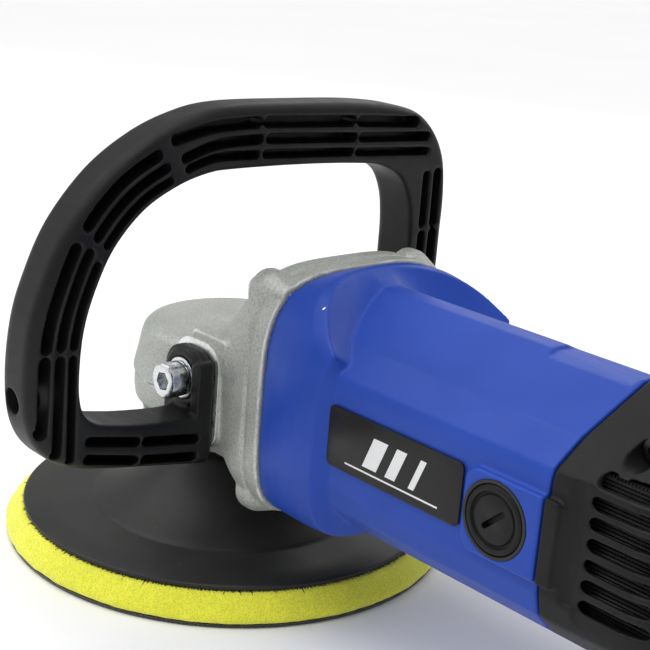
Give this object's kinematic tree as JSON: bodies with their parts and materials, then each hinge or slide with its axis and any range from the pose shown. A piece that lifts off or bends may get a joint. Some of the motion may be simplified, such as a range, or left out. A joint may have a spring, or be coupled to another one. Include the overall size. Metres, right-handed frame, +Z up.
{
  "type": "rotary polisher",
  "caption": "Mains rotary polisher with a D-shaped front handle, right-angle cast gear head, blue motor housing, in-line trigger handle and a foam-faced round pad.",
  "frame": {"origin": "centre of the pad's working face, on the spindle axis", "axes": "+Z up the spindle, away from the working face; +X back along the motor towards the cord inlet; +Y the tool's right"},
  "size_m": [0.49, 0.2125, 0.1835],
  "materials": {
    "cast_aluminium": "die-cast, grainy, bead-blasted",
    "blue_plastic": "satin moulded nylon",
    "black_plastic": "fine-textured glass-filled nylon",
    "grey_plastic": "moulded",
    "label": "printed film, satin",
    "steel": "ground and oiled",
    "zinc": "bright zinc plate",
    "laminated_steel": "varnished laminations",
    "copper": "turned copper",
    "brass": "stamped brass",
    "carbon": "sintered carbon",
    "rubber": "moulded, slightly glossy",
    "hook": "hook-and-loop facing",
    "foam": "open-cell polyurethane foam"
  },
  "bodies": {
    "tool": {"bearing_box": "cast_aluminium", "bearing_box_screw_1": "zinc", "bearing_box_screw_2": "zinc", "bearing_box_screw_3": "zinc", "bearing_box_screw_4": "zinc", "bearing_plate": "cast_aluminium", "brush_cap_left": "black_plastic", "brush_cap_right": "black_plastic", "brush_holder_left": "brass", "brush_holder_right": "brass", "carbon_brush_left": "carbon", "carbon_brush_right": "carbon", "cord_gland": "rubber", "d_handle": "black_plastic", "fan_baffle": "black_plastic", "gear_case": "cast_aluminium", "gear_case_screw_1": "zinc", "gear_case_screw_2": "zinc", "gear_case_screw_3": "zinc", "gear_case_screw_4": "zinc", "handle_bolt_left": "zinc", "handle_bolt_right": "zinc", "handle_shell_screw_1": "zinc", "handle_shell_screw_2": "zinc", "handle_shell_screw_3": "zinc", "handle_washer_left": "zinc", "handle_washer_right": "zinc", "label_plate_left": "label", "label_plate_right": "label", "motor_front_bearing": "steel", "motor_housing": "blue_plastic", "motor_rear_bearing": "steel", "pinion_bearing": "steel", "pinion_shaft_rear_bush": "brass", "rear_handle_left": "black_plastic", "rear_handle_right": "black_plastic", "spindle_lower_bearing": "steel", "spindle_upper_bearing": "steel", "stator": "laminated_steel", "switch_body": "grey_plastic"},
    "spindle": {"spindle": "steel", "bevel_ring_gear": "steel", "pad_insert": "zinc", "backing_pad": "rubber", "foam_layer": "foam", "hook_layer": "hook"},
    "lay_shaft": {"pinion_shaft": "steel", "reduction_gear": "steel"},
    "armature": {"armature_shaft": "steel", "armature_core": "laminated_steel", "commutator": "copper", "cooling_fan": "grey_plastic"},
    "trigger": {"trigger": "black_plastic"},
    "lock_on_button": {"lock_on_button": "black_plastic"},
    "speed_dial": {"speed_dial": "grey_plastic"},
    "spindle_lock_button": {"spindle_lock_button": "black_plastic"}
  },
  "joints": [
    {"name": "spindle_spin", "type": "hinge", "parent": "tool", "child": "spindle", "pos_m": [0, 0, 0.03], "axis": [0, 0, 1], "continuous": true},
    {"name": "lay_shaft_spin", "type": "hinge", "parent": "tool", "child": "lay_shaft", "pos_m": [0.04, 0, 0.066], "axis": [1, 0, 0], "continuous": true},
    {"name": "armature_spin", "type": "hinge", "parent": "tool", "child": "armature", "pos_m": [0.12, 0, 0.083], "axis": [1, 0, 0], "continuous": true},
    {"name": "trigger_pull", "type": "hinge", "parent": "tool", "child": "trigger", "pos_m": [0.27, 0, 0.077], "axis": [0, -1, 0], "range_deg": [0, 6], "stiffness_Nm_per_rad": 2, "springref_deg": -3.44},
    {"name": "lock_on_press", "type": "slide", "parent": "tool", "child": "lock_on_button", "axis": [0, 1, 0], "range_m": [0, 0.003], "stiffness_N_per_m": 800, "springref_m": -0.002},
    {"name": "speed_dial_turn", "type": "hinge", "parent": "tool", "child": "speed_dial", "pos_m": [0.35, 0, 0.101], "axis": [0, -1, 0], "range_deg": [0, 300]},
    {"name": "spindle_lock_press", "type": "slide", "parent": "tool", "child": "spindle_lock_button", "axis": [0, -1, 0], "range_m": [0, 0.004], "stiffness_N_per_m": 900, "springref_m": -0.003}
  ],
  "couplings": [
    {"joint": "lay_shaft_spin", "follows": "spindle_spin", "ratio": 3},
    {"joint": "armature_spin", "follows": "spindle_spin", "ratio": -7.2}
  ]
}
